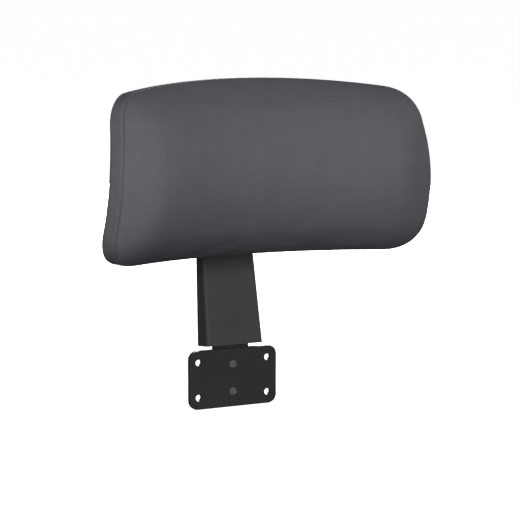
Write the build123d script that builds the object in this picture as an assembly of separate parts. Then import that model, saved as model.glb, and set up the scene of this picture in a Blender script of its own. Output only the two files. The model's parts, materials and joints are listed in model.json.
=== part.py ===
"""Chair headrest attachment: a padded headrest that tilts on a friction hinge and slides up and
down on a flat arm, which bolts to the rear of a chair back.

Frame: millimetres, +Z up, the cushion faces -Y, +X is the sitter's left. The origin is the centre
of the bolt pattern, on the face of the mounting bracket that lies against the chair back.
"""

import os
from math import cos, radians, sin, sqrt, tan

from build123d import *

# Cushion. Its reference point is the middle of its rear surface.
CUSHION_FORWARD = 51.0
CUSHION_HEIGHT = 220.0
WRAP_RADIUS = 311.5  # plan curve of the rear surface, hollow towards the head
CROWN_RADIUS = 143.5  # side-view curve of the rear surface, bulging towards the head
CROWN_CENTRE_Z = 1.8
CUSHION_THICKNESS = 46.0
HALF_WIDTH = 178.6  # along the plan curve, at the widest level
WIDEST_Z = -15.5
TOP_Z = 83.6
BOTTOM_Z = -88.9
SIDE_CORNER_TOP = (157.0, 70.7)  # along the plan curve and up, before the corner is rounded
SIDE_CORNER_BOTTOM = (163.2, -88.9)
CORNER_RADIUS_TOP = 60.0
CORNER_RADIUS_BOTTOM = 66.0
FRONT_EDGE_RADIUS = 24.0

# Layers of the cushion, from the fabric inwards.
FABRIC = 1.5
SKIN_GAP = 0.2
CARRIER_THICKNESS = 3.5
HEM_WIDTH = 20.0
HEM_STRIP_WIDTH = 3.5
HEM_STRIP_THICKNESS = 1.6
SHELL_DEPTH = 9.0
SHELL_WALL = 2.5
SHELL_INSET = 12.0
SHELL_EDGE_RADIUS = 5.0
SHELL_SCREW_X = 112.0
SHELL_SCREWS_Z = (-52.0, 42.0)
SHELL_SCREW_SUNK = 3.0
SHELL_SCREW = 3.2
WINDOW_GAP = 4.5
WINDOW_CORNER_RADIUS = 6.0

# Arm. Its own frame starts where the straight track begins; "up" runs along the arm.
ARM_LEAN = 8.2
TRACK_START = (0.0, 21.3, 127.0)
TRACK_WIDTH = 56.0
TRACK_DEPTH = 19.5
TRACK_LENGTH = 158.0
TAPER_LENGTH = 95.0
TAPER_SIDE = 1.6  # degrees, each side
TAPER_DEPTH = 2.35  # degrees, front and rear
ARM_EDGE_RADIUS = 3.0
ARM_WALL = 2.6
COVER_SPLIT = 4.5  # rearward of the arm's middle plane
CORE_WIDTH = 38.0
CORE_THICKNESS = 5.0
COVER_SCREWS_UP = (-78.0, -28.0, 32.0, 92.0, 142.0)
RIBS_UP = (-66.0, -46.0, -12.0, 10.0, 54.0, 74.0, 112.0, 128.0)
RIB_THICKNESS = 2.0
COVER_BOSS_RADIUS = 3.6
COVER_SCREW_SUNK = 1.4
CAP_FLANGE = 3.0  # how far the top cap stands out all round

# Mounting bracket.
BRACKET_WIDTH = 96.0
BRACKET_HEIGHT = 60.0
BRACKET_THICKNESS = 4.0
BRACKET_EAR_DEPTH = 16.0
BOLT_SPACING_X = 76.0
BOLT_SPACING_Z = 36.0
MOUNT_HOLE = 6.6
CORE_FOOT = 52.0
CORE_BOLTS_Z = (-14.0, 14.0)
CORE_BOLT = 8.0
BRACKET_EAR_THICKNESS = 3.0
BRACKET_CORNER_RADIUS = 9.0

# Carriage, in the arm's frame, at the height it has at rest.
CARRIAGE_BOTTOM = 42.0
CARRIAGE_TOP = 112.0
CARRIAGE_WIDTH = 78.0
CARRIAGE_DEPTH = 38.0
CARRIAGE_SCREW_X = 33.0
CARRIAGE_SCREW_UP = 9.0
CARRIAGE_SCREW_SUNK = 4.0
CARRIAGE_SCREW = 4.0
SCREW_HEAD_ROOM = 4.2  # radius of the recess round a screw's head
PAD_ROOM_DEPTH = 6.8
TRACK_GAP = 0.7
COLLAR_GAP = 0.2
COLLAR_WALL = 2.3
COLLAR_HEIGHT = 12.0
PAD_WIDTH = 30.0
PAD_HEIGHT = 24.0
PAD_THICKNESS = 3.0
RAISE = 40.0
LOWER = 20.0
STOP_RING_WALL = 2.6
STOP_RING_HEIGHT = 5.0

# Tilt hinge.
PIVOT_UP = 75.0
PIVOT_FORWARD = 42.0
BOLT_DIAMETER = 8.0
RUNNING_GAP = 0.05
EAR_INSIDE = 22.0
EAR_THICKNESS = 9.0
EAR_RADIUS = 13.0
WASHER_THICKNESS = 1.2
WASHER_RADIUS = 11.0
COUNTERBORE_DEPTH = 5.0
COUNTERBORE_RADIUS = 9.0
PLAIN_WASHER = 1.4
BOLT_HEX = 13.0
EAR_ROOT_HALF = 24.0
LEAF_THICKNESS = 3.0
LEAF_WIDTH = 66.0
LEAF_HEIGHT = 62.0
LEAF_REAR_Y = 9.0
INSERT_X = 27.0
INSERT_Z = 23.0
INSERT_LENGTH = 4.5
FIT_GAP = 0.1

os.makedirs("parts", exist_ok=True)

CUSHION = Location((0, -CUSHION_FORWARD, CUSHION_HEIGHT))
ARM = Plane(
    origin=TRACK_START,
    x_dir=(1, 0, 0),
    z_dir=(0, sin(radians(ARM_LEAN)), cos(radians(ARM_LEAN))),
)


def write(name, shape):
    export_step(shape, f"parts/{name}.step")


def in_arm(x, back, up):
    """A point of the arm's frame, given in the part's frame."""
    return ARM.from_local_coords(Vector(x, back, up))


PIVOT = in_arm(0, -PIVOT_FORWARD, PIVOT_UP)
PIVOT_IN_CUSHION = PIVOT + Vector(0, CUSHION_FORWARD, -CUSHION_HEIGHT)


# --- shared shapes -------------------------------------------------------------------------


def rod(radius, start, end):
    """A cylinder from one point to another."""
    axis = Vector(*end) - Vector(*start)
    return extrude(Plane(origin=start, z_dir=axis) * Circle(radius), axis.length)


def tube(outer, inner, start, end):
    return rod(outer, start, end) - rod(inner, start, end)


def hexagon(across_flats, start, end):
    axis = Vector(*end) - Vector(*start)
    face = Plane(origin=start, z_dir=axis) * RegularPolygon(across_flats / 2, 6, major_radius=False)
    return extrude(face, axis.length)


def cap_screw(seat, direction, shank, length, head, head_height):
    """A socket-head screw. Its head stands behind the seat; its shank points along direction."""
    seat = Vector(*seat)
    along = Vector(*direction).normalized()
    top = seat - along * head_height
    body = rod(shank / 2, seat, seat + along * length) + rod(head / 2, top, seat)
    return body - hexagon(head * 0.5, top, top + along * head_height * 0.55)


def group(place, solids):
    """Separate solids of one node, each moved to its place in the part."""
    return Compound([place * solid for solid in solids])


# --- cushion: curved layers cut to one outline ---------------------------------------------


def surface_y(x, z, forward):
    """Where the curved layer at a given distance forward of the rear surface lies."""
    crown = CROWN_RADIUS + forward
    drop = CROWN_RADIUS - sqrt(crown**2 - (z - CROWN_CENTRE_Z) ** 2)
    return sqrt((WRAP_RADIUS + drop) ** 2 - x**2) - WRAP_RADIUS


def outline(plane_y, inset):
    """The cushion's outline on one upright plane; widths grow away from the wrap axis."""
    reach = WRAP_RADIUS + plane_y

    def point(along, z):
        return (reach * tan(along / WRAP_RADIUS), z)

    top_x, top_z = point(SIDE_CORNER_TOP[0], SIDE_CORNER_TOP[1])
    low_x, low_z = point(SIDE_CORNER_BOTTOM[0], SIDE_CORNER_BOTTOM[1])
    wide_x, wide_z = point(HALF_WIDTH, WIDEST_Z)
    crown = ThreePointArc((-top_x, top_z), (0, TOP_Z), (top_x, top_z))
    right = ThreePointArc((top_x, top_z), (wide_x, wide_z), (low_x, low_z))
    base = Line((low_x, low_z), (-low_x, low_z))
    left = ThreePointArc((-low_x, low_z), (-wide_x, wide_z), (-top_x, top_z))
    face = make_face([crown, right, base, left])
    if inset:
        face = offset(face, -inset, kind=Kind.INTERSECTION)
    upper = face.vertices().filter_by(lambda v: v.Y > 0)
    face = fillet(upper, CORNER_RADIUS_TOP - inset)
    lower = face.vertices().sort_by(Axis.Y)[:2]
    face = fillet(lower, CORNER_RADIUS_BOTTOM - inset)
    upright = Plane(origin=(0, plane_y, 0), x_dir=(1, 0, 0), z_dir=(0, -1, 0))
    return upright * face


def trimmed(rear, front, inset):
    """The layer between two distances forward of the rear surface, cut to the outline."""
    crown = CROWN_RADIUS + front
    ring = Circle(crown) - Circle(CROWN_RADIUS + rear)
    reach = TOP_Z - BOTTOM_Z
    window = Pos(-crown / 2, 0) * Rectangle(crown, reach * 1.1)
    band = (ring & window).faces().sort_by(Axis.X)[0]
    side = Plane(origin=(0, CROWN_RADIUS, CROWN_CENTRE_Z), x_dir=(0, 1, 0), z_dir=(1, 0, 0))
    wrap_axis = Axis((0, -WRAP_RADIUS, 0), (0, 0, 1))
    turned = revolve(side * band, wrap_axis, 84).rotate(wrap_axis, -42)
    walls = loft([outline(-110, inset), outline(70, inset)], ruled=True)
    return turned & walls


def front_rounded(layer, radius):
    """Round the long edge loop at the front of a layer."""
    broad = layer.faces().sort_by(lambda f: f.area)[-2:].sort_by(Axis.Y)
    return fillet(broad[0].edges(), radius)


def rear_rounded(layer, radius):
    """Round the long edge loop at the rear of a layer."""
    broad = layer.faces().sort_by(lambda f: f.area)[-2:].sort_by(Axis.Y)
    return fillet(broad[-1].edges(), radius)


def fabric_cover():
    """The sewn cover: front, side strip, and a hem turned in behind the carrier."""
    outside = front_rounded(trimmed(-FABRIC, CUSHION_THICKNESS, 0), FRONT_EDGE_RADIUS)
    inside = front_rounded(
        trimmed(0, CUSHION_THICKNESS - FABRIC, FABRIC), FRONT_EDGE_RADIUS - FABRIC
    )
    mouth = trimmed(-2 * FABRIC, SKIN_GAP, HEM_WIDTH)
    return CUSHION * (outside - inside - mouth)


def foam_pad():
    inset = FABRIC + SKIN_GAP
    pad = trimmed(CARRIER_THICKNESS + SKIN_GAP, CUSHION_THICKNESS - inset, inset)
    return CUSHION * front_rounded(pad, FRONT_EDGE_RADIUS - inset)


def screw_places():
    """Where the rear shell is screwed to the carrier, across and up."""
    return [(x, z) for x in (-SHELL_SCREW_X, SHELL_SCREW_X) for z in SHELL_SCREWS_Z]


def shell_screw_seat(x, z):
    """How far back the screw's seat is, sunk below the rear shell's outside."""
    return surface_y(x, z, -SHELL_DEPTH) - SHELL_SCREW_SUNK


def shell_post(x, z, radius):
    """A pillar along Y between the carrier and the rear shell."""
    return rod(radius, (x, -60, z), (x, 60, z))


def inner_carrier():
    """Moulded board behind the foam, with a flat hub for the hinge bracket."""
    board = trimmed(0, CARRIER_THICKNESS, FABRIC + SKIN_GAP)
    hub_rear = LEAF_REAR_Y - LEAF_THICKNESS
    hub_middle = Pos(0, hub_rear, PIVOT_IN_CUSHION.Z)
    footprint = Box(LEAF_WIDTH + 8, 24, LEAF_HEIGHT + 8)
    hub = hub_middle * Pos(0, -12, 0) * footprint & trimmed(-20, CARRIER_THICKNESS / 2, 20)
    board = board + hub - hub_middle * Pos(0, 12, 0) * footprint
    for x in (-INSERT_X, INSERT_X):
        for z in (-INSERT_Z, INSERT_Z):
            place = (x, hub_rear + 1, PIVOT_IN_CUSHION.Z + z)
            board -= rod(3.6, place, (x, hub_rear - INSERT_LENGTH - 2 * FIT_GAP, place[2]))
    for x, z in screw_places():
        board -= shell_post(x, z, 1.7)
    return CUSHION * board


def threaded_inserts():
    """Brass inserts in the carrier's hub, one behind each hinge bracket screw."""
    rear = LEAF_REAR_Y - LEAF_THICKNESS - FIT_GAP
    z0 = PIVOT_IN_CUSHION.Z
    inserts = [
        tube(3.5, 2.1, (x, rear, z0 + z), (x, rear - INSERT_LENGTH, z0 + z))
        for x in (-INSERT_X, INSERT_X)
        for z in (-INSERT_Z, INSERT_Z)
    ]
    return group(CUSHION, inserts)


def hem_strip():
    """Flat strip sewn to the cover's edge, which holds the hem down on the carrier."""
    front = -FABRIC - FIT_GAP
    ring = trimmed(front - HEM_STRIP_THICKNESS, front, HEM_WIDTH - HEM_STRIP_WIDTH)
    inner = trimmed(front - 2 * HEM_STRIP_THICKNESS, 0, HEM_WIDTH)
    return CUSHION * (ring - inner)


def rear_shell():
    """Moulded dish over the back of the cushion, with a window for the hinge bracket."""
    front = -FABRIC - SKIN_GAP
    dish = rear_rounded(trimmed(-SHELL_DEPTH, front, SHELL_INSET), SHELL_EDGE_RADIUS)
    hollow = trimmed(-SHELL_DEPTH + SHELL_WALL, 5, SHELL_INSET + SHELL_WALL)
    shell = dish - rear_rounded(hollow, SHELL_EDGE_RADIUS - SHELL_WALL)
    between = trimmed(-SHELL_DEPTH + SHELL_WALL / 2, -SKIN_GAP, SHELL_INSET + SHELL_WALL)
    for x, z in screw_places():
        shell += between & shell_post(x, z, 5)
    for x, z in screw_places():
        seat = shell_screw_seat(x, z)
        shell -= rod(SCREW_HEAD_ROOM, (x, seat, z), (x, seat + 20, z))
        shell -= shell_post(x, z, 2)
    hole = Box(LEAF_WIDTH + 2 * WINDOW_GAP, 60, LEAF_HEIGHT + 2 * WINDOW_GAP)
    window = Pos(0, 0, PIVOT_IN_CUSHION.Z) * hole
    window = fillet(window.edges().filter_by(Axis.Y), WINDOW_CORNER_RADIUS)
    return CUSHION * (shell - window)


def rear_shell_screws():
    screws = [
        cap_screw((x, shell_screw_seat(x, z), z), (0, -1, 0), SHELL_SCREW, 8.5, 7, 2.4)
        for x, z in screw_places()
    ]
    return group(CUSHION, screws)


# --- tilt hinge ----------------------------------------------------------------------------


def ear_plate(root, middle, pivot, radius):
    """Side view of an ear: from a straight root to a round end about the pivot."""
    low = middle - EAR_ROOT_HALF
    high = middle + EAR_ROOT_HALF
    towards = 1 if pivot[0] > root else -1
    straight = Polyline((root, low), (root, high), (root + towards, high))
    return make_hull([*straight.edges(), *(Pos(*pivot) * Circle(radius)).edges()])


def hinge_bracket():
    """Steel U bracket on the carrier's hub; its two ears hold the hinge bolt."""
    z0 = PIVOT_IN_CUSHION.Z
    y0 = PIVOT_IN_CUSHION.Y
    base = Pos(0, LEAF_REAR_Y - LEAF_THICKNESS / 2, z0) * Box(
        LEAF_WIDTH, LEAF_THICKNESS, LEAF_HEIGHT
    )
    base = fillet(base.edges().filter_by(Axis.Y), 5)
    outer = EAR_INSIDE - WASHER_THICKNESS - 2 * FIT_GAP
    side = Plane(origin=(0, 0, 0), x_dir=(0, 1, 0), z_dir=(1, 0, 0))
    plate = ear_plate(LEAF_REAR_Y - LEAF_THICKNESS / 2, z0, (y0, z0), EAR_RADIUS - 1)
    ears = [
        Pos(x, 0, 0) * extrude(side * plate, LEAF_THICKNESS)
        for x in (-outer, outer - LEAF_THICKNESS)
    ]
    bracket = base + ears[0] + ears[1]
    bore = BOLT_DIAMETER / 2 + RUNNING_GAP
    bracket -= rod(bore, (-40, y0, z0), (40, y0, z0))
    for x in (-INSERT_X, INSERT_X):
        for z in (-INSERT_Z, INSERT_Z):
            bracket -= rod(2.2, (x, -5, z0 + z), (x, 20, z0 + z))
    return CUSHION * bracket


def hinge_bracket_screws():
    z0 = PIVOT_IN_CUSHION.Z
    screws = [
        cap_screw((x, LEAF_REAR_Y, z0 + z), (0, -1, 0), 4, 7.5, 7, 2.6)
        for x in (-INSERT_X, INSERT_X)
        for z in (-INSERT_Z, INSERT_Z)
    ]
    return group(CUSHION, screws)


def along_pivot(x):
    return (x, PIVOT.Y, PIVOT.Z)


def spacer_sleeve():
    """Sleeve on the bolt that keeps the two ears of the hinge bracket apart."""
    half = EAR_INSIDE - WASHER_THICKNESS - LEAF_THICKNESS - 3 * FIT_GAP
    bore = BOLT_DIAMETER / 2 + RUNNING_GAP
    return tube(6.5, bore, along_pivot(-half), along_pivot(half))


def friction_washers():
    """One disc each side, between the hinge bracket and the carriage's ears."""
    bore = BOLT_DIAMETER / 2 + RUNNING_GAP
    inner = EAR_INSIDE - WASHER_THICKNESS - FIT_GAP
    outer = EAR_INSIDE - FIT_GAP
    discs = [
        tube(WASHER_RADIUS, bore, along_pivot(side * inner), along_pivot(side * outer))
        for side in (-1, 1)
    ]
    return group(Location(), discs)


def ear_outside():
    return EAR_INSIDE + EAR_THICKNESS


def washer_seat():
    """Across from the middle to the bottom of an ear's counterbore."""
    return ear_outside() - COUNTERBORE_DEPTH


def bolt_seat():
    """Across from the middle to the underside of the bolt's head or nut."""
    return washer_seat() + PLAIN_WASHER + FIT_GAP


def plain_washers():
    """Steel washers under the bolt head and under the nut, in the ears' counterbores."""
    inner = washer_seat() + FIT_GAP
    outer = washer_seat() + PLAIN_WASHER
    bore = BOLT_DIAMETER / 2 + RUNNING_GAP
    discs = [
        tube(COUNTERBORE_RADIUS - 1, bore, along_pivot(side * inner), along_pivot(side * outer))
        for side in (-1, 1)
    ]
    return group(Location(), discs)


def hinge_bolt():
    seat = bolt_seat()
    bolt = rod(BOLT_DIAMETER / 2, along_pivot(-seat), along_pivot(seat + 5.5))
    return bolt + hexagon(BOLT_HEX, along_pivot(-seat - 4), along_pivot(-seat))


def lock_nut():
    seat = bolt_seat()
    bore = BOLT_DIAMETER / 2 + RUNNING_GAP
    nut = hexagon(BOLT_HEX, along_pivot(seat), along_pivot(seat + 5))
    return nut - rod(bore, along_pivot(seat - 1), along_pivot(seat + 6))


def hinge_cap(side):
    """Round plastic cap that covers one end of the hinge bolt."""
    face = ear_outside() + FIT_GAP
    cap = rod(EAR_RADIUS - 0.5, along_pivot(side * face), along_pivot(side * (face + 5)))
    rim = cap.faces().sort_by(Axis.X)[-1 if side > 0 else 0].edges()
    cap = fillet(rim, 2)
    hollow_end = along_pivot(side * (face + 3.2))
    return cap - rod(COUNTERBORE_RADIUS, along_pivot(side * (face - 1)), hollow_end)


# --- carriage ------------------------------------------------------------------------------


def arm_block(width, depth, low, high, radius=0.0):
    """An upright block of the arm's frame, with its long edges rounded."""
    if radius:
        face = RectangleRounded(width, depth, radius)
    else:
        face = Rectangle(width, depth)
    return extrude(Pos(0, 0, low) * face, high - low)


def carriage_halves():
    """Front half with the hinge ears and rear half, in the arm's frame."""
    outer = arm_block(CARRIAGE_WIDTH, CARRIAGE_DEPTH, CARRIAGE_BOTTOM, CARRIAGE_TOP, 7)
    ends = outer.faces().filter_by(Axis.Z)
    outer = fillet(ends[0].edges() + ends[1].edges(), 2)
    gap = 2 * TRACK_GAP
    channel = arm_block(
        TRACK_WIDTH + gap,
        TRACK_DEPTH + gap,
        CARRIAGE_BOTTOM - 1,
        CARRIAGE_TOP + 1,
        ARM_EDGE_RADIUS,
    )
    body = outer - channel
    for low in collar_levels():
        pocket = 2 * (COLLAR_GAP + COLLAR_WALL + FIT_GAP)
        body -= arm_block(
            TRACK_WIDTH + pocket,
            TRACK_DEPTH + pocket,
            low - FIT_GAP,
            low + COLLAR_HEIGHT + FIT_GAP,
            ARM_EDGE_RADIUS + COLLAR_WALL,
        )
    middle = (CARRIAGE_BOTTOM + CARRIAGE_TOP) / 2
    pad_room = Box(PAD_WIDTH + 4 * FIT_GAP, PAD_ROOM_DEPTH, PAD_HEIGHT + 4 * FIT_GAP)
    body -= Pos(0, (TRACK_DEPTH + PAD_ROOM_DEPTH) / 2, middle) * pad_room
    for x, up in carriage_screw_places():
        body -= rod(2.1, (x, -12, up), (x, 30, up))
        body -= rod(SCREW_HEAD_ROOM, (x, carriage_screw_seat(), up), (x, 30, up))
    front = split(body, Plane.XZ.offset(-COVER_SPLIT + FIT_GAP / 2), keep=Keep.TOP)
    rear = split(body, Plane.XZ.offset(-COVER_SPLIT - FIT_GAP / 2), keep=Keep.BOTTOM)
    return front, rear


def collar_levels():
    return (CARRIAGE_BOTTOM + 4, CARRIAGE_TOP - 4 - COLLAR_HEIGHT)


def carriage_screw_seat():
    return CARRIAGE_DEPTH / 2 - CARRIAGE_SCREW_SUNK


def carriage_screw_places():
    middle = (CARRIAGE_BOTTOM + CARRIAGE_TOP) / 2
    sides = (-CARRIAGE_SCREW_X, CARRIAGE_SCREW_X)
    return [(x, middle + up) for x in sides for up in (-CARRIAGE_SCREW_UP, CARRIAGE_SCREW_UP)]


def hinge_ear(side):
    """One ear of the carriage, in the arm's frame."""
    face = Plane(origin=(0, 0, 0), x_dir=(0, 1, 0), z_dir=(1, 0, 0))
    plate = ear_plate(-CARRIAGE_DEPTH / 2 + 3, PIVOT_UP, (-PIVOT_FORWARD, PIVOT_UP), EAR_RADIUS)
    start = EAR_INSIDE if side > 0 else -EAR_INSIDE - EAR_THICKNESS
    ear = Pos(start, 0, 0) * extrude(face * plate, EAR_THICKNESS)
    pivot = (-PIVOT_FORWARD, PIVOT_UP)
    ear -= rod(BOLT_DIAMETER / 2 + RUNNING_GAP, (-60, *pivot), (60, *pivot))
    seat = side * washer_seat()
    return ear - rod(COUNTERBORE_RADIUS, (seat, *pivot), (side * 60, *pivot))


def carriage_front(front):
    return ARM * (front + hinge_ear(-1) + hinge_ear(1))


def glide_collar(low):
    """Slippery collar between the carriage and the track."""
    inner = 2 * COLLAR_GAP
    outer = 2 * (COLLAR_GAP + COLLAR_WALL)
    high = low + COLLAR_HEIGHT
    ring = arm_block(
        TRACK_WIDTH + outer, TRACK_DEPTH + outer, low, high, ARM_EDGE_RADIUS + COLLAR_WALL
    )
    return ARM * (
        ring
        - arm_block(
            TRACK_WIDTH + inner, TRACK_DEPTH + inner, low - 1, high + 1, ARM_EDGE_RADIUS + COLLAR_GAP
        )
    )


def friction_pad():
    middle = (CARRIAGE_BOTTOM + CARRIAGE_TOP) / 2
    front = TRACK_DEPTH / 2 + FIT_GAP
    pad = Pos(0, front + PAD_THICKNESS / 2, middle) * Box(PAD_WIDTH, PAD_THICKNESS, PAD_HEIGHT)
    return ARM * fillet(pad.edges().filter_by(Axis.X), 0.8)


def leaf_spring():
    """Bowed strip between the friction pad and the carriage's rear wall."""
    middle = (CARRIAGE_BOTTOM + CARRIAGE_TOP) / 2
    front = TRACK_DEPTH / 2 + PAD_THICKNESS + 3 * FIT_GAP
    half = PAD_HEIGHT / 2 - 0.6
    rise = 2.6
    strip = 0.5
    lower_arc = ThreePointArc((front, middle - half), (front + rise, middle), (front, middle + half))
    upper_arc = ThreePointArc(
        (front + strip, middle + half),
        (front + rise + strip, middle),
        (front + strip, middle - half),
    )
    ends = [
        Line((front, middle + half), (front + strip, middle + half)),
        Line((front + strip, middle - half), (front, middle - half)),
    ]
    side = Plane(origin=(-9, 0, 0), x_dir=(0, 1, 0), z_dir=(1, 0, 0))
    return ARM * extrude(side * make_face([lower_arc, ends[0], upper_arc, ends[1]]), 18)


def carriage_screws():
    screws = [
        cap_screw((x, carriage_screw_seat(), up), (0, -1, 0), CARRIAGE_SCREW, 22, 7.4, 3.4)
        for x, up in carriage_screw_places()
    ]
    return group(ARM, screws)


# --- arm -----------------------------------------------------------------------------------


def arm_outer(inset):
    """The arm's outside, or its hollow when inset: a taper below a straight track."""
    low = -TAPER_LENGTH
    grow_x = 2 * TAPER_LENGTH * tan(radians(TAPER_SIDE))
    grow_y = 2 * TAPER_LENGTH * tan(radians(TAPER_DEPTH))
    radius = ARM_EDGE_RADIUS - inset * 0.75
    width = TRACK_WIDTH - 2 * inset
    depth = TRACK_DEPTH - 2 * inset
    foot = Pos(0, 0, low) * RectangleRounded(width + grow_x, depth + grow_y, radius)
    neck = RectangleRounded(width, depth, radius)
    taper = loft([foot, neck], ruled=True)
    return taper + extrude(neck, TRACK_LENGTH)


def core_room():
    """Slot for the steel core through the bottom wall of the covers."""
    width = CORE_WIDTH + 4 * FIT_GAP
    depth = CORE_THICKNESS + 4 * FIT_GAP
    return arm_block(width, depth, -TAPER_LENGTH - 1, -TAPER_LENGTH + 5)


def arm_covers():
    """Front and rear covers round the steel core, in the arm's frame."""
    bottom = arm_block(100, 60, -TAPER_LENGTH - 1, -TAPER_LENGTH + ARM_WALL)
    hollow = arm_outer(ARM_WALL) - bottom
    shell = arm_outer(0) - hollow - core_room()
    core_gap = CORE_THICKNESS + 2 * FIT_GAP
    around_core = arm_outer(ARM_WALL / 2) - arm_block(
        CORE_WIDTH + 2, core_gap, -TAPER_LENGTH - 1, TRACK_LENGTH + 1
    )
    for up in RIBS_UP:
        shell += around_core & arm_block(100, 60, up, up + RIB_THICKNESS)
    front = split(shell, Plane.XZ.offset(-COVER_SPLIT + FIT_GAP / 2), keep=Keep.TOP)
    rear = split(shell, Plane.XZ.offset(-COVER_SPLIT - FIT_GAP / 2), keep=Keep.BOTTOM)
    for up in COVER_SCREWS_UP:
        boss_start = (0, ARM_WALL / 2 - half_depth(up), up)
        front += rod(COVER_BOSS_RADIUS, boss_start, (0, COVER_SPLIT - FIT_GAP, up))
        front -= rod(1.5, (0, ARM_WALL - half_depth(up), up), (0, 20, up))
        rear -= rod(1.9, (0, 0, up), (0, 20, up))
        rear -= rod(COVER_BOSS_RADIUS, (0, cover_screw_seat(up), up), (0, 20, up))
    return front, rear


def half_depth(up):
    """From the arm's middle plane to its front or rear face at this level."""
    return TRACK_DEPTH / 2 + max(0.0, -up) * tan(radians(TAPER_DEPTH))


def cover_screw_seat(up):
    """How far back the screw's seat is, so that its head is just inside the rear face."""
    return half_depth(up) - COVER_SCREW_SUNK


def arm_cover_screws():
    screws = [
        cap_screw((0, cover_screw_seat(up), up), (0, -1, 0), 2.9, 9, 5.6, 1.2)
        for up in COVER_SCREWS_UP
    ]
    return group(ARM, screws)


def arm_core():
    """Bent steel bar: an upright foot on the bracket, then the leaning part inside the covers."""
    foot_middle = BRACKET_THICKNESS + FIT_GAP + CORE_THICKNESS / 2
    bend_z = TRACK_START[2] - (TRACK_START[1] - foot_middle) / tan(radians(ARM_LEAN))
    leaning = ARM * arm_block(CORE_WIDTH, CORE_THICKNESS, -150, TRACK_LENGTH - 8)
    below_bend = Pos(0, 0, bend_z - 100) * Box(200, 200, 200)
    foot_height = bend_z + CORE_FOOT / 2
    foot = Pos(0, foot_middle, bend_z - foot_height / 2) * Box(
        CORE_WIDTH, CORE_THICKNESS, foot_height
    )
    core = leaning - below_bend + foot
    for up in COVER_SCREWS_UP:
        core -= rod(4.0, in_arm(0, -20, up), in_arm(0, 20, up))
    for z in CORE_BOLTS_Z:
        core -= rod(CORE_BOLT / 2 + FIT_GAP, (0, 0, z), (0, 40, z))
    return core


def arm_top_cap():
    """Cap on the arm's end, wide enough to stop the carriage."""
    wide = 2 * CAP_FLANGE
    flange = arm_block(
        TRACK_WIDTH + wide, TRACK_DEPTH + wide, TRACK_LENGTH + FIT_GAP, TRACK_LENGTH + 5, 5
    )
    flange = fillet(flange.faces().sort_by(Axis.Z)[-1].edges(), 2)
    inset = 2 * (ARM_WALL + 2 * FIT_GAP)
    plug = arm_block(
        TRACK_WIDTH - inset, TRACK_DEPTH - inset, TRACK_LENGTH - 6, TRACK_LENGTH + 1, 1.5
    )
    cap = flange + plug
    cap -= rod(2.1, (0, 0, TRACK_LENGTH - 8), (0, 0, TRACK_LENGTH + 8))
    recess = rod(SCREW_HEAD_ROOM, (0, 0, TRACK_LENGTH + 2), (0, 0, TRACK_LENGTH + 8))
    return ARM * (cap - recess)


def top_cap_screw():
    return ARM * cap_screw((0, 0, TRACK_LENGTH + 2), (0, 0, -1), 4, 9, 7.4, 2.6)


def stop_ring(low):
    """Rubber ring round the arm that the carriage comes to rest on."""
    high = low + STOP_RING_HEIGHT
    width = TRACK_WIDTH + 2 * FIT_GAP
    depth = TRACK_DEPTH + 2 * FIT_GAP
    wall = 2 * STOP_RING_WALL
    ring = arm_block(width + wall, depth + wall, low, high, ARM_EDGE_RADIUS + STOP_RING_WALL)
    return ARM * (ring - arm_block(width, depth, low - 1, high + 1, ARM_EDGE_RADIUS))


def mounting_bracket():
    """Folded steel bracket that lies against the chair back."""
    plate = Pos(0, BRACKET_THICKNESS / 2, 0) * Box(
        BRACKET_WIDTH, BRACKET_THICKNESS, BRACKET_HEIGHT
    )
    plate = fillet(plate.edges().filter_by(Axis.Y), BRACKET_CORNER_RADIUS)
    ear_x = CORE_WIDTH / 2 + FIT_GAP + BRACKET_EAR_THICKNESS / 2
    for side in (-1, 1):
        ear = Pos(side * ear_x, BRACKET_EAR_DEPTH / 2, 0) * Box(
            BRACKET_EAR_THICKNESS, BRACKET_EAR_DEPTH, CORE_FOOT
        )
        corners = ear.edges().filter_by(Axis.X).sort_by(Axis.Y)[-2:]
        plate += fillet(corners, 8)
    for x in (-BOLT_SPACING_X / 2, BOLT_SPACING_X / 2):
        for z in (-BOLT_SPACING_Z / 2, BOLT_SPACING_Z / 2):
            plate -= rod(MOUNT_HOLE / 2, (x, -5, z), (x, 20, z))
    for z in CORE_BOLTS_Z:
        plate -= rod(CORE_BOLT / 2 + RUNNING_GAP, (0, -5, z), (0, 20, z))
    return plate


def core_bolts():
    """Bolts that hold the core's foot on the bracket, from behind."""
    seat = BRACKET_THICKNESS + FIT_GAP + CORE_THICKNESS + FIT_GAP
    bolts = [
        cap_screw((0, seat, z), (0, -1, 0), CORE_BOLT, seat - 0.8, 13, 5) for z in CORE_BOLTS_Z
    ]
    return group(Location(), bolts)


# --- the part ------------------------------------------------------------------------------

write("fabric_cover", fabric_cover())
write("foam_pad", foam_pad())
write("inner_carrier", inner_carrier())
write("threaded_inserts", threaded_inserts())
write("cover_hem_strip", hem_strip())
write("rear_shell", rear_shell())
write("rear_shell_screws", rear_shell_screws())

write("hinge_bracket", hinge_bracket())
write("hinge_bracket_screws", hinge_bracket_screws())
write("spacer_sleeve", spacer_sleeve())
write("friction_washers", friction_washers())
write("plain_washers", plain_washers())
write("hinge_bolt", hinge_bolt())
write("lock_nut", lock_nut())
write("bolt_head_cap", hinge_cap(-1))
write("nut_cap", hinge_cap(1))

carriage_front_half, carriage_rear_half = carriage_halves()
write("carriage_front", carriage_front(carriage_front_half))
write("carriage_rear", ARM * carriage_rear_half)
write("carriage_screws", carriage_screws())
write("lower_glide_collar", glide_collar(collar_levels()[0]))
write("upper_glide_collar", glide_collar(collar_levels()[1]))
write("friction_pad", friction_pad())
write("leaf_spring", leaf_spring())

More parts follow.
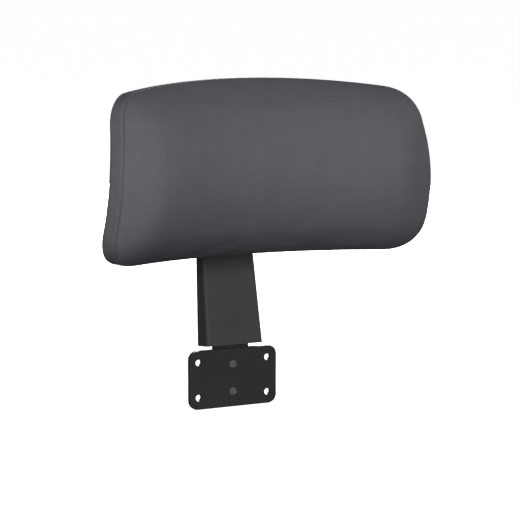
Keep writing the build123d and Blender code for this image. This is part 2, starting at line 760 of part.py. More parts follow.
front_cover, rear_cover = arm_covers()
write("arm_front_cover", ARM * front_cover)
write("arm_rear_cover", ARM * rear_cover)
write("arm_cover_screws", arm_cover_screws())
write("arm_core", arm_core())
write("arm_top_cap", arm_top_cap())
write("top_cap_screw", top_cap_screw())
write("lower_stop_ring", stop_ring(CARRIAGE_BOTTOM - LOWER - 1 - STOP_RING_HEIGHT))
write("upper_stop_ring", stop_ring(CARRIAGE_TOP + RAISE + 1))
write("mounting_bracket", mounting_bracket())
write("core_bolts", core_bolts())
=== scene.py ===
"""Looks for the chair headrest attachment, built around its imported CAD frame. Metres, +Z up."""

import json

import bmesh
import bpy
import numpy as np
from math import atan, cos, pi, radians, sin
from mathutils import Matrix, Vector


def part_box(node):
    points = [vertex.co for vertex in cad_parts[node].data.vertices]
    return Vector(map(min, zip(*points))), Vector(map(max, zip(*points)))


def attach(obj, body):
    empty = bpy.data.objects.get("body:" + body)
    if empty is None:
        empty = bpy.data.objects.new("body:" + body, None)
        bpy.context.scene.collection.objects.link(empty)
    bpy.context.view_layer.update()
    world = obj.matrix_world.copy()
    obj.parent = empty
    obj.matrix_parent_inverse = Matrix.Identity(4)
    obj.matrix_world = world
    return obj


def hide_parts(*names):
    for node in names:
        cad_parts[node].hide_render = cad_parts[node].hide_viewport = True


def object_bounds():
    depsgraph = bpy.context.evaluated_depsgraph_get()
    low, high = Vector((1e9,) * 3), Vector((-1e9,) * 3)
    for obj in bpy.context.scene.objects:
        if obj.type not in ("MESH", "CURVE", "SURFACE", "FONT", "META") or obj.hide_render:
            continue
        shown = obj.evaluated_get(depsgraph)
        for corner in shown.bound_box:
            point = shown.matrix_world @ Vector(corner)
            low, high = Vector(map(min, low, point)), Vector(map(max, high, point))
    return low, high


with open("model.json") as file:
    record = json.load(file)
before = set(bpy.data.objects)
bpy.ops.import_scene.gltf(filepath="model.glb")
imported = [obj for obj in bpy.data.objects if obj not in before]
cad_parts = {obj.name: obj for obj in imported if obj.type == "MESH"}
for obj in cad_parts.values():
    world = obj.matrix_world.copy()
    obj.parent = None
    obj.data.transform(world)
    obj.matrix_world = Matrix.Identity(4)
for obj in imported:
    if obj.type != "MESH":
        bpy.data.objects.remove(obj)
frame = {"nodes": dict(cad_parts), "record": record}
CAD_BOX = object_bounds()
NODES = frame["nodes"]

# --- driving sizes of the cushion, in metres -----------------------------------------------

COVER_LOW, COVER_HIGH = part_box("fabric_cover")
TOP_ABOVE = 0.0836  # from the cushion's reference level up to its top
REFERENCE = Vector((0.0, -0.051, COVER_HIGH.z - TOP_ABOVE))
BOTTOM_BELOW = REFERENCE.z - COVER_LOW.z
WRAP_RADIUS = 0.3115  # plan curve of the cushion's rear surface
CROWN_RADIUS = 0.1435  # side-view curve of the cushion's rear surface
CROWN_CENTRE = 0.0018
HALF_WIDTH = 0.1786
WIDEST = -0.0155
SIDE_BOW = 2.88  # the side comes in by this times the height squared
TOP_BOW = 0.518
FRONT_CORNERS = (0.041, 0.042)  # top and bottom corner radii at the seam
REAR_CORNERS = (0.0465, 0.047)  # and at the rear edge, where the cover pulls in
INNER_INSET = 0.024  # the front panel's even grid starts this far inside the outline
INNER_CORNER = 0.020
EVEN_INSET = 0.009  # rings keep the outline's own shape up to here

SEAM = 0.0147  # forward of the cushion's rear surface
SEAM_DEPTH = 0.0030
SEAM_BEHIND = 0.0016  # the groove's slopes reach this far behind the seam
SEAM_AHEAD = 0.0022  # and this far in front of it
PUFF_HEIGHT = 0.010  # how far the front panel rises within reach of its edge
PUFF_REACH = 0.030
BULGE = 0.026  # and how much more towards its middle
REAR_EDGE = 0.005
HEM_REAR = -0.0015
HEM_FRONT = -0.0001
HEM_WIDTH = 0.016
FOAM_REAR = 0.0038
FABRIC = 0.0016

GRID_ACROSS = 68
GRID_UP = 34
PUFF_CAP = 0.0025  # the simulation moves no point further than this
PRESSURE = 4.0
CLOTH_STIFFNESS = 40
CLOTH_BENDING = 5
SIM_FRAMES = 20
RIPPLE_PASSES = 30
ROUNDING_LEVELS = 2


# --- chart of the cushion's curved surface -------------------------------------------------


def lift(chart, forward):
    """Chart places (arc length across, height) and depth, as places in the part's frame."""
    along, up = chart[..., 0], chart[..., 1]
    crown = CROWN_RADIUS + forward
    drop = CROWN_RADIUS - np.sqrt(crown**2 - (up - CROWN_CENTRE) ** 2)
    reach = WRAP_RADIUS + drop
    turn = along / WRAP_RADIUS
    place = np.stack([reach * np.sin(turn), reach * np.cos(turn) - WRAP_RADIUS, up], axis=-1)
    return place + np.array(REFERENCE)


def edges(along, up):
    """Distances outside the side, the top and the bottom edge, and the edges' normals."""
    zero, one = np.zeros_like(up), np.ones_like(up)
    side_slope = 2 * SIDE_BOW * (up - WIDEST)
    side_length = np.hypot(1, side_slope)
    side = (along - HALF_WIDTH + SIDE_BOW * (up - WIDEST) ** 2) / side_length
    top_slope = 2 * TOP_BOW * along
    top_length = np.hypot(1, top_slope)
    top = (up - TOP_ABOVE + TOP_BOW * along**2) / top_length
    return {
        "side": (side, np.stack([one, side_slope], -1) / side_length[..., None]),
        "top": (top, np.stack([top_slope, one], -1) / top_length[..., None]),
        "bottom": (-BOTTOM_BELOW - up, np.stack([zero, -one], -1)),
    }


def corner_centre(edge, radius):
    """The point as far as the radius inside both the side and another edge."""
    place = np.array([HALF_WIDTH - radius, 0.0])
    for _ in range(60):
        found = edges(place[0], place[1])
        (side, side_normal), (other, other_normal) = found["side"], found[edge]
        gaps = np.array([side + radius, other + radius])
        place = place - np.linalg.solve(np.stack([side_normal, other_normal]), gaps)
    found = edges(place[0], place[1])
    return place, found["side"][1], found[edge][1], radius


def outline_distance(along, up, corners):
    """Signed distance from the cushion's outline in the chart, negative inside."""
    along = np.abs(along)
    found = edges(along, up)
    away = np.maximum(np.maximum(found["side"][0], found["top"][0]), found["bottom"][0])
    for centre, side_normal, other_normal, radius in corners:
        offset = np.stack([along - centre[0], up - centre[1]], -1)
        turning = side_normal[0] * other_normal[1] - side_normal[1] * other_normal[0]
        past_side = side_normal[0] * offset[..., 1] - side_normal[1] * offset[..., 0]
        before_other = offset[..., 0] * other_normal[1] - offset[..., 1] * other_normal[0]
        in_corner = (past_side * turning > 0) & (before_other * turning > 0)
        away = np.where(in_corner, np.linalg.norm(offset, axis=-1) - radius, away)
    return away


def corner_arcs(top_radius, bottom_radius):
    """The outline's two right-hand corners; the left side mirrors them."""
    return corner_centre("top", top_radius), corner_centre("bottom", bottom_radius)


SEAM_OUTLINE = corner_arcs(*FRONT_CORNERS)
REAR_OUTLINE = corner_arcs(*REAR_CORNERS)
INNER_OUTLINE = corner_arcs(INNER_INSET + INNER_CORNER, INNER_INSET + INNER_CORNER)


def corner_rays(corners):
    """Directions from the chart's middle through the middles of the two right-hand corners."""
    rays = []
    for centre, side_normal, other_normal, radius in corners:
        middle = centre + radius * (side_normal + other_normal) / 2
        rays.append(abs(atan(middle[1] / middle[0])))
    return rays


def outline_ray(turns, inset, corners):
    """Where rays from the chart's middle meet the outline moved inward."""
    near = np.zeros_like(turns)
    far = near + 0.4
    for _ in range(40):
        middle = (near + far) / 2
        away = outline_distance(middle * np.cos(turns), middle * np.sin(turns), corners)
        inside = away < -inset
        near = np.where(inside, middle, near)
        far = np.where(inside, far, middle)
    return np.stack([near * np.cos(turns), near * np.sin(turns)], axis=1)


def outline_loop(inset, corners):
    """A closed loop, anticlockwise from the bottom left corner, in step with the front grid."""
    high, low = corner_rays(corners)
    stretches = [
        (pi + low, 2 * pi - low, GRID_ACROSS),
        (-low, high, GRID_UP),
        (high, pi - high, GRID_ACROSS),
        (pi - high, pi + low, GRID_UP),
    ]
    points = []
    for start, end, count in stretches:
        fine = outline_ray(np.linspace(start, end, 400), inset, corners)
        steps = np.linalg.norm(np.diff(fine, axis=0), axis=1)
        run = np.concatenate([[0], np.cumsum(steps)])
        wanted = np.linspace(0, run[-1], count + 1)[:-1]
        points.append(np.stack([np.interp(wanted, run, fine[:, k]) for k in (0, 1)], axis=1))
    return np.concatenate(points)


def inward(loop):
    """Unit normals of a closed loop, pointing to its inside."""
    along = np.roll(loop, -1, axis=0) - np.roll(loop, 1, axis=0)
    normal = np.stack([-along[:, 1], along[:, 0]], axis=1)
    return normal / np.linalg.norm(normal, axis=1)[:, None]


def rise(depth):
    """Share of the panel's full height at a distance inside its edge."""
    share = np.clip(depth / PUFF_REACH, 0, 1)
    return np.sqrt(1 - (1 - share) ** 2)


def panel_depth(chart):
    """How far forward of the rear surface the front panel stands."""
    along, up = chart[..., 0], chart[..., 1]
    middle = (TOP_ABOVE - BOTTOM_BELOW) / 2
    half = (TOP_ABOVE + BOTTOM_BELOW) / 2
    crown = (1 - (along / HALF_WIDTH) ** 8) * (1 - ((up - middle) / half) ** 2)
    height = PUFF_HEIGHT + BULGE * np.maximum(crown, 0)
    return SEAM + rise(-outline_distance(along, up, SEAM_OUTLINE)) * height


def grid_from_loop(loop):
    """A Coons patch: an even grid that fills a loop, with the loop's points along its border."""
    across, up = GRID_ACROSS, GRID_UP
    base = loop[: across + 1]
    right = loop[across : across + up + 1]
    top = loop[across + up : 2 * across + up + 1][::-1]
    left = np.concatenate([loop[2 * across + up :], loop[:1]])[::-1]
    u = np.linspace(0, 1, across + 1)[:, None, None]
    v = np.linspace(0, 1, up + 1)[None, :, None]
    ruled_up = (1 - v) * base[:, None] + v * top[:, None]
    ruled_across = (1 - u) * left[None] + u * right[None]
    corners = (
        (1 - u) * (1 - v) * base[0]
        + u * (1 - v) * base[-1]
        + (1 - u) * v * top[0]
        + u * v * top[-1]
    )
    return ruled_up + ruled_across - corners


def ring_profile():
    """The cover's section from the hidden rear panel, round the edge, to the front panel."""
    hidden = [
        (0.016, FOAM_REAR),
        (FABRIC + 0.001, FOAM_REAR),
        (FABRIC, FOAM_REAR - 0.001),
        (FABRIC, HEM_FRONT + 0.001),
        (FABRIC + 0.001, HEM_FRONT),
        (HEM_WIDTH - 0.001, HEM_FRONT),
        (HEM_WIDTH, (HEM_FRONT + HEM_REAR) / 2),
        (HEM_WIDTH - 0.001, HEM_REAR),
        (REAR_EDGE + 0.004, HEM_REAR),
    ]
    edge_centre = HEM_REAR + REAR_EDGE
    edge = [
        (REAR_EDGE * (1 - sin(turn)), edge_centre - REAR_EDGE * cos(turn))
        for turn in np.linspace(0, pi / 2, 6)
    ]
    strip = [(0.0, edge_centre + share * (SEAM - 0.002 - edge_centre)) for share in (0.33, 0.66, 1)]
    groove = [
        (0.0001, SEAM - SEAM_BEHIND),
        (0.0009, SEAM - SEAM_BEHIND / 2),
        (SEAM_DEPTH, SEAM),
        (0.0010, SEAM + 0.0009),
        (0.0002, SEAM + SEAM_AHEAD),
    ]
    panel = [
        (depth, SEAM + rise(depth) * PUFF_HEIGHT)
        for depth in (0.0005, 0.001, 0.0018, 0.003, 0.0045, 0.0065, 0.009, 0.012, 0.016, 0.020)
    ]
    return hidden + edge + strip + groove + panel, len(hidden + edge + strip) + 2


# --- the upholstered cover -----------------------------------------------------------------


def cover_mesh():
    """The closed cover: vertices, quads, weave coordinates, and which vertices are sewn down."""
    outer = outline_loop(0, SEAM_OUTLINE)
    rear = outline_loop(0, REAR_OUTLINE)
    inner = outline_loop(INNER_INSET, INNER_OUTLINE)
    profile, seam_ring = ring_profile()
    count = len(outer)

    def ring(inset, forward):
        share = np.clip(forward / SEAM, 0, 1)
        edge = rear * (1 - share) + outer * share
        if forward < SEAM:
            return edge + inward(edge) * inset
        if inset <= EVEN_INSET:
            return outer + inward(outer) * inset
        share = (inset - EVEN_INSET) / (INNER_INSET - EVEN_INSET)
        return (outer + inward(outer) * EVEN_INSET) * (1 - share) + inner * share

    charts = [ring(inset, forward) for inset, forward in profile]
    rings = []
    for k, (chart, (_, forward)) in enumerate(zip(charts, profile)):
        level = panel_depth(chart) if k > seam_ring + 2 else np.full(count, forward)
        rings.append(lift(chart, level))

    grid = grid_from_loop(inner)
    front = lift(grid, panel_depth(grid))
    back = lift(grid, np.full(grid.shape[:2], FOAM_REAR))

    steps = np.linalg.norm(np.roll(outer, -1, axis=0) - outer, axis=1)
    around = np.concatenate([[0], np.cumsum(steps)])
    down = np.cumsum(
        [0] + [np.hypot(b[0] - a[0], b[1] - a[1]) for a, b in zip(profile, profile[1:])]
    )
    return stitch(front, back, rings, grid, charts, around, down, seam_ring)


def stitch(front, rear, rings, grid, charts, around, down, seam_ring):
    """Join the two panels and the rings between them into one closed mesh."""
    across, up = front.shape[0], front.shape[1]
    count = len(rings[0])
    size = across * up
    points = np.concatenate([front.reshape(-1, 3), rear.reshape(-1, 3)] + rings)
    border = [(i, 0) for i in range(across - 1)]
    border += [(across - 1, j) for j in range(up - 1)]
    border += [(i, up - 1) for i in range(across - 1, 0, -1)]
    border += [(0, j) for j in range(up - 1, 0, -1)]
    border = np.array([i * up + j for i, j in border])
    flat = grid.reshape(-1, 2)
    faces, weave = [], []
    for i in range(across - 1):
        for j in range(up - 1):
            quad = [i * up + j, (i + 1) * up + j, (i + 1) * up + j + 1, i * up + j + 1]
            faces.append(quad)
            weave.append([flat[k] for k in quad])
            faces.append([size + k for k in reversed(quad)])
            weave.append([flat[k] for k in reversed(quad)])
    loops = [size + border]
    loops += [2 * size + k * count + np.arange(count) for k in range(len(rings))]
    loops += [border]
    chart_loops = [flat[border]] + charts + [flat[border]]
    for k, (near, far) in enumerate(zip(loops, loops[1:])):
        on_panel = k > seam_ring
        for i in range(count):
            j = (i + 1) % count
            faces.append([near[i], near[j], far[j], far[i]])
            if on_panel:
                a, b = chart_loops[k], chart_loops[k + 1]
                weave.append([a[i], a[j], b[j], b[i]])
            else:
                low, high = down[max(k - 1, 0)], down[min(k, len(down) - 1)]
                weave.append(
                    [(around[i], low), (around[i + 1], low), (around[i + 1], high), (around[i], high)]
                )
    sewn = np.ones(len(points), bool)
    sewn[:size] = False
    free_rings = loops[seam_ring + 3 : -1]
    for loop in free_rings:
        sewn[loop] = False
    return points, faces, weave, sewn


def new_piece(name, points, faces):
    mesh = bpy.data.meshes.new(name)
    mesh.from_pydata([tuple(p) for p in points], [], [[int(k) for k in f] for f in faces])
    mesh.validate()
    piece = bpy.data.objects.new(name, mesh)
    bpy.context.scene.collection.objects.link(piece)
    return piece


def inflate(piece, sewn):
    """Let the front panel fill out under pressure, sewn down at its seam, as cloth."""
    held = piece.vertex_groups.new(name="sewn")
    held.add([int(k) for k in np.nonzero(sewn)[0]], 1.0, "REPLACE")
    rest = read_points(piece.data)
    cloth = piece.modifiers.new("Cloth", "CLOTH")
    cloth.settings.vertex_group_mass = "sewn"
    cloth.settings.use_pressure = True
    cloth.settings.uniform_pressure_force = PRESSURE
    cloth.settings.effector_weights.gravity = 0
    cloth.settings.quality = 6
    cloth.settings.tension_stiffness = CLOTH_STIFFNESS
    cloth.settings.compression_stiffness = CLOTH_STIFFNESS
    cloth.settings.bending_stiffness = CLOTH_BENDING
    cloth.point_cache.frame_start = 1
    cloth.point_cache.frame_end = SIM_FRAMES
    for step in range(1, SIM_FRAMES + 1):
        bpy.context.scene.frame_set(step)
    settled = read_points(piece.evaluated_get(bpy.context.evaluated_depsgraph_get()).data)
    piece.modifiers.remove(cloth)
    bpy.context.scene.frame_set(1)
    moved = even_out(settled - rest)
    far = np.linalg.norm(moved, axis=1, keepdims=True)
    moved *= np.minimum(1, PUFF_CAP / np.maximum(far, 1e-9))
    write_points(piece.data, rest + moved)


def even_out(moved):
    """Take the small ripples out of the front panel's movement, which its foam wouldn't let in."""
    across, up = GRID_ACROSS + 1, GRID_UP + 1
    panel = moved[: across * up].reshape(across, up, 3)
    for _ in range(RIPPLE_PASSES):
        around = panel[2:, 1:-1] + panel[:-2, 1:-1] + panel[1:-1, 2:] + panel[1:-1, :-2]
        panel[1:-1, 1:-1] = around / 4
    return moved


def read_points(mesh):
    flat = np.empty(len(mesh.vertices) * 3)
    mesh.vertices.foreach_get("co", flat)
    return flat.reshape(-1, 3)


def write_points(mesh, points):
    mesh.vertices.foreach_set("co", points.reshape(-1))
    mesh.update()


def apply_modifiers(piece):
    graph = bpy.context.evaluated_depsgraph_get()
    final = bpy.data.meshes.new_from_object(piece.evaluated_get(graph))
    piece.modifiers.clear()
    piece.data = final


def upholstery():
    """The cushion as sewn: pad and cover in one closed, rounded piece."""
    points, faces, weave, sewn = cover_mesh()
    piece = new_piece("upholstered_cushion", points, faces)
    layer = piece.data.uv_layers.new(name="weave")
    layer.data.foreach_set("uv", np.array(weave).reshape(-1))
    tidy = bmesh.new()
    tidy.from_mesh(piece.data)
    bmesh.ops.recalc_face_normals(tidy, faces=tidy.faces)
    tidy.to_mesh(piece.data)
    tidy.free()
    inflate(piece, sewn)
    rounding = piece.modifiers.new("Rounding", "SUBSURF")
    rounding.levels = ROUNDING_LEVELS
    apply_modifiers(piece)
    piece.data.polygons.foreach_set("use_smooth", [True] * len(piece.data.polygons))
    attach(piece, "headrest")
    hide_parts("fabric_cover", "foam_pad")
    return piece


# --- materials -----------------------------------------------------------------------------


class Surface:
    """A procedural material under construction: its node tree and its shader."""

    def __init__(self, name, roughness, metallic=0.0):
        self.material = bpy.data.materials.new(name)
        self.material.use_nodes = True
        self.nodes = self.material.node_tree.nodes
        self.links = self.material.node_tree.links
        self.shader = self.nodes["Principled BSDF"]
        self.shader.inputs["Roughness"].default_value = roughness
        self.shader.inputs["Metallic"].default_value = metallic

    def node(self, kind, **settings):
        made = self.nodes.new(kind)
        for name, value in settings.items():
            if hasattr(made, name):
                setattr(made, name, value)
            else:
                made.inputs[name.replace("_", " ")].default_value = value
        return made

    def link(self, source, target):
        self.links.new(source, target)

    def math(self, operation, a, b=0.0):
        made = self.node("ShaderNodeMath", operation=operation)
        for socket, value in zip(made.inputs, (a, b)):
            if isinstance(value, (int, float)):
                socket.default_value = value
            else:
                self.link(value, socket)
        return made.outputs[0]

    def noise(self, place, scale, detail=4.0, roughness=0.6):
        made = self.node("ShaderNodeTexNoise", Scale=scale, Detail=detail, Roughness=roughness)
        self.link(place, made.inputs["Vector"])
        return made.outputs["Fac"]

    def ramp(self, factor, stops):
        made = self.node("ShaderNodeValToRGB")
        band = made.color_ramp
        while len(band.elements) < len(stops):
            band.elements.new(0.5)
        for element, (position, colour) in zip(band.elements, stops):
            element.position = position
            element.color = (*colour, 1.0)
        self.link(factor, made.inputs["Fac"])
        return made.outputs["Color"]

    def bump(self, height, strength, distance, under=None):
        made = self.node("ShaderNodeBump", Strength=strength, Distance=distance)
        self.link(height, made.inputs["Height"])
        if under is not None:
            self.link(under, made.inputs["Normal"])
        return made.outputs["Normal"]

    def place(self):
        return self.node("ShaderNodeTexCoord").outputs["Object"]


def shade(colour, factor):
    return tuple(channel * factor for channel in colour)


def woven_fabric(name, colour, pitch):
    """Plain weave of two close tones of yarn, with slubs and a soft bloom."""
    s = Surface(name, 0.92)
    s.shader.inputs["Specular IOR Level"].default_value = 0.12
    s.shader.inputs["Sheen Weight"].default_value = 0.03
    s.shader.inputs["Sheen Roughness"].default_value = 0.45
    s.shader.inputs["Sheen Tint"].default_value = (0.75, 0.78, 0.86, 1)
    thread = s.node("ShaderNodeUVMap", uv_map="weave").outputs["UV"]
    split = s.node("ShaderNodeSeparateXYZ")
    s.link(thread, split.inputs[0])
    drift = s.math("MULTIPLY", s.noise(thread, 60.0, detail=2.0), 2.4)
    across = s.math("ADD", s.math("DIVIDE", split.outputs["X"], pitch), drift)
    up = s.math("SUBTRACT", s.math("DIVIDE", split.outputs["Y"], pitch), drift)
    warp = s.math("ABSOLUTE", s.math("SINE", s.math("MULTIPLY", across, pi)))
    weft = s.math("ABSOLUTE", s.math("SINE", s.math("MULTIPLY", up, pi)))
    steps = s.math("ADD", s.math("FLOOR", across), s.math("FLOOR", up))
    over = s.math("FLOORED_MODULO", steps, 2.0)
    under = s.math("SUBTRACT", 1.0, over)
    crossing = s.math("ADD", s.math("MULTIPLY", warp, over), s.math("MULTIPLY", weft, under))
    slub = s.noise(thread, 420.0, detail=3.0)
    cloud = s.noise(s.place(), 55.0, detail=5.0)
    tone = s.math("ADD", s.math("MULTIPLY", over, 0.22), s.math("MULTIPLY", slub, 0.5))
    tone = s.math("ADD", tone, s.math("MULTIPLY", cloud, 0.28))
    s.link(
        s.ramp(tone, [(0.2, shade(colour, 0.78)), (0.5, colour), (0.85, shade(colour, 1.28))]),
        s.shader.inputs["Base Color"],
    )
    threads = s.bump(crossing, 0.35, 0.00016)
    s.link(s.bump(cloud, 0.12, 0.0006, threads), s.shader.inputs["Normal"])
    return s.material


def moulded_plastic(name, colour, roughness, grain=1.0):
    """Spark-eroded moulded plastic: fine grain, faint flow marks, rubbed a little smoother."""
    s = Surface(name, roughness)
    s.shader.inputs["Specular IOR Level"].default_value = 0.25
    fine = s.noise(s.place(), 1700.0, detail=2.0)
    broad = s.noise(s.place(), 24.0, detail=5.0)
    s.link(
        s.ramp(broad, [(0.25, shade(colour, 0.88)), (0.75, shade(colour, 1.12))]),
        s.shader.inputs["Base Color"],
    )
    worn = s.math("ADD", s.math("MULTIPLY", broad, 0.16), roughness - 0.08)
    s.link(worn, s.shader.inputs["Roughness"])
    s.link(s.bump(fine, 0.25 * grain, 0.0002), s.shader.inputs["Normal"])
    return s.material


def metal(name, colour, roughness, stretch=(1, 1, 1), grain=0.1):
    """Metal with fine marks drawn out along one direction, and patchy sheen."""
    s = Surface(name, roughness, metallic=1.0)
    mapping = s.node("ShaderNodeMapping")
    mapping.inputs["Scale"].default_value = stretch
    s.link(s.place(), mapping.inputs["Vector"])
    marks = s.noise(mapping.outputs["Vector"], 900.0, detail=3.0)
    patches = s.noise(s.place(), 70.0, detail=4.0)
    s.link(
        s.ramp(patches, [(0.3, shade(colour, 0.82)), (0.7, shade(colour, 1.08))]),
        s.shader.inputs["Base Color"],
    )
    uneven = s.math("ADD", s.math("MULTIPLY", marks, 0.25), roughness - 0.12)
    s.link(uneven, s.shader.inputs["Roughness"])
    s.link(s.bump(marks, grain, 0.0001), s.shader.inputs["Normal"])
    return s.material


def powder_coat(name, colour):
    """Black powder coat: an orange-peel skin with a low gloss."""
    s = Surface(name, 0.48)
    peel = s.noise(s.place(), 650.0, detail=2.0)
    broad = s.noise(s.place(), 30.0, detail=4.0)
    s.link(
        s.ramp(broad, [(0.3, shade(colour, 0.85)), (0.7, shade(colour, 1.2))]),
        s.shader.inputs["Base Color"],
    )
    s.link(s.bump(peel, 0.3, 0.0003), s.shader.inputs["Normal"])
    return s.material


def open_foam(name, colour):
    """Cut foam: small open cells, with painted shade darkening the hollow middle of each cell."""
    s = Surface(name, 0.95)
    cells = s.node("ShaderNodeTexVoronoi", Scale=900.0)
    s.link(s.place(), cells.inputs["Vector"])
    # painted shade: the colour darkens towards each cell's middle, in the same hollows the bump
    # presses in
    s.link(
        s.ramp(cells.outputs["Distance"], [(0.0, shade(colour, 0.6)), (0.5, colour)]),
        s.shader.inputs["Base Color"],
    )
    s.link(s.bump(cells.outputs["Distance"], 0.6, 0.0006), s.shader.inputs["Normal"])
    return s.material


def dense_rubber(name, colour, roughness):
    """Matt rubber or friction lining, with a patchy bloom."""
    s = Surface(name, roughness)
    bloom = s.noise(s.place(), 90.0, detail=5.0)
    fine = s.noise(s.place(), 1200.0, detail=2.0)
    s.link(
        s.ramp(bloom, [(0.3, shade(colour, 0.8)), (0.75, shade(colour, 1.35))]),
        s.shader.inputs["Base Color"],
    )
    s.link(s.bump(fine, 0.2, 0.0002), s.shader.inputs["Normal"])
    return s.material


MATERIALS = {
    "cover_fabric": woven_fabric("woven_fabric", (0.120, 0.125, 0.138), 0.00065),
    "foam": open_foam("open_foam", (0.75, 0.72, 0.6)),
    "moulded_plastic": moulded_plastic("moulded_plastic", (0.052, 0.05, 0.046), 0.7),
    "board_plastic": moulded_plastic("board_plastic", (0.03, 0.03, 0.032), 0.42),
    "slippery_plastic": moulded_plastic("slippery_plastic", (0.72, 0.71, 0.67), 0.35, 0.4),
    "friction_lining": dense_rubber("friction_lining", (0.12, 0.075, 0.045), 0.85),
    "black_steel": powder_coat("black_powder_coat", (0.022, 0.022, 0.024)),
    "zinc_steel": metal("zinc_plated_steel", (0.56, 0.57, 0.6), 0.34, grain=0.08),
    "spring_steel": metal("spring_steel", (0.42, 0.41, 0.4), 0.3, (1, 12, 1)),
    "brass": metal("brass", (0.72, 0.55, 0.25), 0.32),
    "rubber": dense_rubber("matt_rubber", (0.022, 0.022, 0.022), 0.75),
}


def dress_nodes():
    """Give every CAD node the material of its slot."""
    for part in frame["record"]["subparts"]:
        node = NODES[part["node"]]
        node.data.materials.clear()
        node.data.materials.append(MATERIALS[part["material_slot"]])


# --- floor, light and camera ---------------------------------------------------------------

WHITE = 0.99
FLOOR_GLOW = 0.95
FLOOR_HALF = 30.0
BEHIND_LEVEL = 0.1
# The studio's brightness by direction, from straight down (0) over the horizon (0.5) to straight up.
SKY = [
    (0.0, 0.01),
    (0.3, 0.015),
    (0.42, 0.04),
    (0.49, 0.35),
    (0.56, 0.5),
    (0.68, 0.2),
    (0.82, 0.04),
    (1.0, 0.02),
]

# Soft boxes: name, then azimuth and elevation in degrees, side in metres and power in watts.
KEY_AZIMUTH = -26.0
LIGHT_DISTANCE = 2.2
LIGHTS = [
    ("key_light", KEY_AZIMUTH, 13, 1.0, 40),
    ("side_light", 95.0, 10, 1.6, 16),
    ("rear_light", 152.0, 3, 1.2, 80),
]

CAMERA_AZIMUTH = -25.0
CAMERA_PITCH = 8.3
CAMERA_DISTANCE = 1.770
CAMERA_LENS = 126.3
AIM_RIGHT = 0.0056  # the camera looks this far right of the cushion's reference point
AIM_BELOW = 0.0922  # and this far below it


def floor():
    """A plain pale floor, which sends no light onto the object."""
    level = CAD_BOX[0][2]
    signs = [(-1, -1), (1, -1), (1, 1), (-1, 1)]
    corners = [(x * FLOOR_HALF, y * FLOOR_HALF, level) for x, y in signs]
    ground = new_piece("floor", corners, [[0, 1, 2, 3]])
    s = Surface("pale_floor", 0.9)
    s.shader.inputs["Specular IOR Level"].default_value = 0.1
    mottle = s.noise(s.place(), 3.0)
    s.link(
        s.ramp(mottle, [(0.3, (0.86, 0.86, 0.86)), (0.7, (0.89, 0.89, 0.89))]),
        s.shader.inputs["Base Color"],
    )
    s.shader.inputs["Emission Color"].default_value = (1, 1, 1, 1)
    s.shader.inputs["Emission Strength"].default_value = FLOOR_GLOW
    ground.data.materials.append(s.material)
    ground.visible_diffuse = False
    ground.visible_glossy = False


def soft_light(name, azimuth, elevation, size, watts):
    """A square soft box, aimed at the cushion from a direction round the object."""
    turn, height = radians(azimuth), radians(elevation)
    towards = Vector((sin(turn) * cos(height), -cos(turn) * cos(height), sin(height)))
    lamp = bpy.data.lights.new(name, "AREA")
    lamp.size = size
    lamp.energy = watts
    holder = bpy.data.objects.new(name, lamp)
    holder.visible_camera = False
    holder.location = REFERENCE + towards * LIGHT_DISTANCE
    holder.rotation_euler = towards.to_track_quat("Z", "Y").to_euler()
    bpy.context.scene.collection.objects.link(holder)


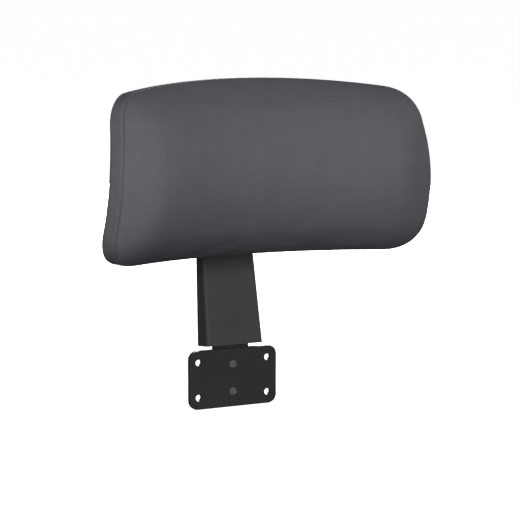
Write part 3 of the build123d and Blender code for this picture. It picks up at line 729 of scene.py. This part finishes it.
def studio():
    """Surroundings brightest near the horizon on the key light's side, seen as a white backdrop."""
    world = bpy.data.worlds.new("studio")
    world.use_nodes = True
    bpy.context.scene.world = world
    nodes, links = world.node_tree.nodes, world.node_tree.links
    way = nodes.new("ShaderNodeTexCoord")
    split = nodes.new("ShaderNodeSeparateXYZ")
    links.new(way.outputs["Generated"], split.inputs[0])
    height = nodes.new("ShaderNodeMapRange")
    height.inputs["From Min"].default_value = -1.0
    links.new(split.outputs["Z"], height.inputs["Value"])
    band = nodes.new("ShaderNodeValToRGB")
    while len(band.color_ramp.elements) < len(SKY):
        band.color_ramp.elements.new(0.5)
    for element, (position, level) in zip(band.color_ramp.elements, SKY):
        element.position = position
        element.color = (level, level, level, 1)
    links.new(height.outputs["Result"], band.inputs["Fac"])
    facing = nodes.new("ShaderNodeVectorMath")
    facing.operation = "DOT_PRODUCT"
    turn = radians(KEY_AZIMUTH)
    facing.inputs[1].default_value = (sin(turn), -cos(turn), 0)
    links.new(way.outputs["Generated"], facing.inputs[0])
    side = nodes.new("ShaderNodeMapRange")
    side.inputs["From Min"].default_value = -1.0
    side.inputs["To Min"].default_value = BEHIND_LEVEL
    side.inputs["To Max"].default_value = 1.0
    links.new(facing.outputs["Value"], side.inputs["Value"])
    light = nodes["Background"]
    links.new(band.outputs["Color"], light.inputs["Color"])
    links.new(side.outputs["Result"], light.inputs["Strength"])
    backdrop = nodes.new("ShaderNodeBackground")
    backdrop.inputs["Color"].default_value = (WHITE, WHITE, WHITE, 1)
    seen = nodes.new("ShaderNodeLightPath")
    choose = nodes.new("ShaderNodeMixShader")
    links.new(seen.outputs["Is Camera Ray"], choose.inputs["Fac"])
    links.new(light.outputs["Background"], choose.inputs[1])
    links.new(backdrop.outputs["Background"], choose.inputs[2])
    links.new(choose.outputs["Shader"], nodes["World Output"].inputs["Surface"])


def camera():
    """A long lens from the front left, a little above the cushion."""
    azimuth, pitch = radians(CAMERA_AZIMUTH), radians(CAMERA_PITCH)
    view = Vector((-sin(azimuth) * cos(pitch), cos(azimuth) * cos(pitch), -sin(pitch)))
    right = Vector((cos(azimuth), sin(azimuth), 0))
    upward = right.cross(view)
    aim = REFERENCE + right * AIM_RIGHT - upward * AIM_BELOW
    lens = bpy.data.cameras.new("camera")
    lens.lens = CAMERA_LENS
    lens.clip_end = 100
    holder = bpy.data.objects.new("camera", lens)
    holder.matrix_world = Matrix.Translation(aim - view * CAMERA_DISTANCE) @ Matrix(
        (
            (right.x, upward.x, -view.x, 0),
            (right.y, upward.y, -view.y, 0),
            (right.z, upward.z, -view.z, 0),
            (0, 0, 0, 1),
        )
    )
    bpy.context.scene.collection.objects.link(holder)
    bpy.context.scene.camera = holder


cushion = upholstery()
cushion.data.materials.append(MATERIALS["cover_fabric"])
dress_nodes()
floor()
studio()
for light in LIGHTS:
    soft_light(*light)
camera()
bpy.context.scene.view_settings.view_transform = "Standard"
